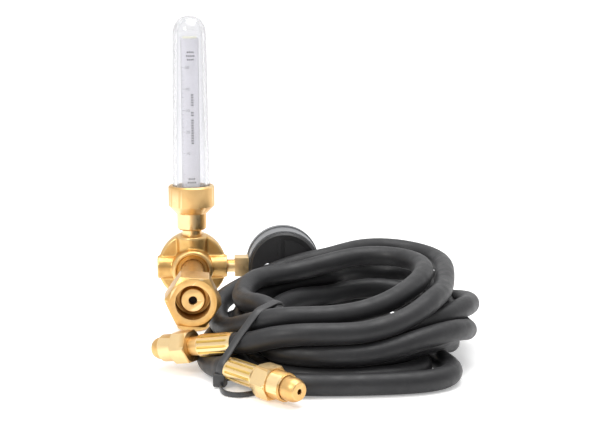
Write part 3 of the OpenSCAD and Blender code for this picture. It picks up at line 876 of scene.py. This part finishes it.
def strap(name, line, outward, across, width, thick, closed, material):
    """A flat band along line: across is its width direction, outward its thick side."""
    n = len(line)
    profile = [(-0.5, 0.0), (0.5, 0.0), (0.5, 0.75), (0.38, 1.0), (-0.38, 1.0), (-0.5, 0.75)]
    verts = []
    for p, o, a in zip(line, outward, across):
        for w, t in profile:
            verts.append((p + a * w * width + o * t * thick) * MM)
    k = len(profile)
    faces = []
    for i in range(n if closed else n - 1):
        j = (i + 1) % n
        for m in range(k):
            q = (m + 1) % k
            faces.append((i * k + m, i * k + q, j * k + q, j * k + m))
    if not closed:
        faces.append(tuple(range(k)))
        faces.append(tuple(reversed(range((n - 1) * k, n * k))))
    obj = mesh_piece(name, verts, faces, material)
    smooth_by_angle(obj, 40)
    return obj


def tie_outline():
    up = unit(TIE_HIGH - TIE_LOW)
    normal = unit(TIE_ALONG - TIE_ALONG @ up * up)
    side = np.cross(normal, up)
    centre = (TIE_LOW + TIE_HIGH) / 2
    height = (route - centre) @ normal
    found = []
    for i in np.nonzero(height[:-1] * height[1:] <= 0)[0]:
        f = height[i] / (height[i] - height[i + 1])
        c = route[i] + f * (route[i + 1] - route[i])
        if np.linalg.norm(c - centre) > 42:
            continue
        way = unit(route[i + 1] - route[i])
        lean = min(1 / max(abs(way @ normal), 0.55), 1.6)
        flat = np.array((way @ side, way @ up))
        size = np.linalg.norm(flat)
        flat = flat / size if size > 1e-6 else np.array((1.0, 0.0))
        cross = np.array((-flat[1], flat[0]))
        mid = np.array(((c - centre) @ side, (c - centre) @ up))
        for t in np.linspace(0, 2 * np.pi, 24, endpoint=False):
            r = HOSE_R + 0.1
            found.append(mid + r * lean * math.cos(t) * flat + r * math.sin(t) * cross)
    ring = hull(found)
    loop = np.vstack([ring, ring[:1]])
    d = np.r_[0, np.cumsum(np.linalg.norm(np.diff(loop, axis=0), axis=1))]
    s = np.linspace(0, d[-1], 120, endpoint=False)
    even = np.stack([np.interp(s, d, loop[:, i]) for i in range(2)], 1)
    for _ in range(3):
        even = 0.5 * even + 0.25 * (np.roll(even, 1, 0) + np.roll(even, -1, 0))
    tangent = np.roll(even, -1, 0) - np.roll(even, 1, 0)
    out2 = np.stack([tangent[:, 1], -tangent[:, 0]], 1)
    out2 /= np.linalg.norm(out2, axis=1, keepdims=True)
    line = centre + even[:, :1] * side + even[:, 1:] * up
    outward = out2[:, :1] * side + out2[:, 1:] * up
    return line, outward, normal


tie_line, tie_out, tie_normal = tie_outline()
tie_line[:, 2] = np.maximum(tie_line[:, 2], TIE_T + 0.2)
tie = strap(
    "tie_band", tie_line, tie_out, [tie_normal] * len(tie_line), TIE_W, TIE_T, True, M_NYLON
)


def rounded_block(name, size, radius, material):
    bm = bmesh.new()
    bmesh.ops.create_cube(bm, size=1.0)
    bmesh.ops.scale(bm, vec=Vector([s * MM for s in size]), verts=bm.verts)
    bmesh.ops.bevel(
        bm, geom=list(bm.edges), offset=radius * MM, segments=3, profile=0.5, affect="EDGES"
    )
    me = bpy.data.meshes.new(name)
    bm.to_mesh(me)
    bm.free()
    me.materials.append(material)
    obj = link(name, me)
    smooth_by_angle(obj, 45)
    return obj


HEAD_AT = np.array((14.5, -132.5, 4.6))
head = rounded_block("tie_head", (7.2, 6.0, 7.6), 0.9, M_NYLON)
head.data.transform(
    Matrix.Translation(Vector(HEAD_AT * MM)) @ Matrix.Rotation(math.radians(-18), 4, "Z")
)
TAIL = [
    (15, -133, 2.2),
    (15.2, -141, 1.8),
    (17.5, -149, 1.7),
    (23, -152.5, 1.7),
    (33, -149, 1.7),
    (38, -145.5, 1.8),
]
tail_line = smooth_line(TAIL, 1.0)
way = np.gradient(tail_line, axis=0)
tail_up = np.array([[0.0, 0.0, 1.0]] * len(tail_line))
tail_side = np.cross(way, tail_up)
tail_side /= np.linalg.norm(tail_side, axis=1, keepdims=True)
tail_line[:, 2] -= 0.6
tail = strap("tie_tail", tail_line, tail_side, tail_up, 3.0, 1.1, False, M_NYLON)
for v in tail.data.vertices:
    v.co.z = max(v.co.z + 0.0008, 0.0001)
for piece in (tie, head, tail):
    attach(piece, ROOT)
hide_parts("cable_tie")


# ---------------------------------------------------------------- studio

floor = mesh_piece(
    "floor",
    [(-15, -5, 0), (15, -5, 0), (15, 20, 0), (-15, 20, 0)],
    [(0, 1, 2, 3)],
)
t = Tree("pale_floor")
paper = t.ramp(t.noise(3, 3), (0.3, (0.93, 0.93, 0.93)), (0.7, (0.95, 0.95, 0.95)))
t.set(Base=paper, Roughness=0.6)
t.shader.inputs["Emission Color"].default_value = (1, 1, 1, 1)
t.shader.inputs["Emission Strength"].default_value = 0.3
floor.data.materials.append(t.mat)
floor.location.z = -0.00005

world = bpy.data.worlds.new("studio")
bpy.context.scene.world = world
world.use_nodes = True
sky = world.node_tree.nodes
side = sky.new("ShaderNodeTexCoord")
split = sky.new("ShaderNodeSeparateXYZ")
fall = sky.new("ShaderNodeMapRange")
fall.inputs["From Min"].default_value = -0.9
fall.inputs["From Max"].default_value = 0.15
fall.inputs["To Min"].default_value = 0.38
fall.inputs["To Max"].default_value = 1.0
world.node_tree.links.new(side.outputs["Generated"], split.inputs[0])
world.node_tree.links.new(split.outputs["Y"], fall.inputs["Value"])
world.node_tree.links.new(fall.outputs["Result"], sky["Background"].inputs["Strength"])
sky["Background"].inputs["Color"].default_value = (1, 1, 1, 1)


def lamp(name, at, target, size, power, colour=(1, 1, 1)):
    data = bpy.data.lights.new(name, "AREA")
    data.shape = "RECTANGLE"
    data.size, data.size_y = size
    data.energy = power
    data.color = colour
    obj = link(name, data)
    obj.location = at
    aim = Vector(target) - Vector(at)
    obj.rotation_euler = aim.to_track_quat("-Z", "Y").to_euler()
    return obj


lamp("key", (-0.55, -0.75, 0.75), (0.03, -0.05, 0.06), (0.35, 0.35), 4.5, (1, 0.98, 0.95))
lamp("top", (0.15, -0.05, 1.0), (0.05, -0.05, 0.05), (0.8, 0.8), 8)
bpy.context.scene.view_settings.view_transform = "Standard"
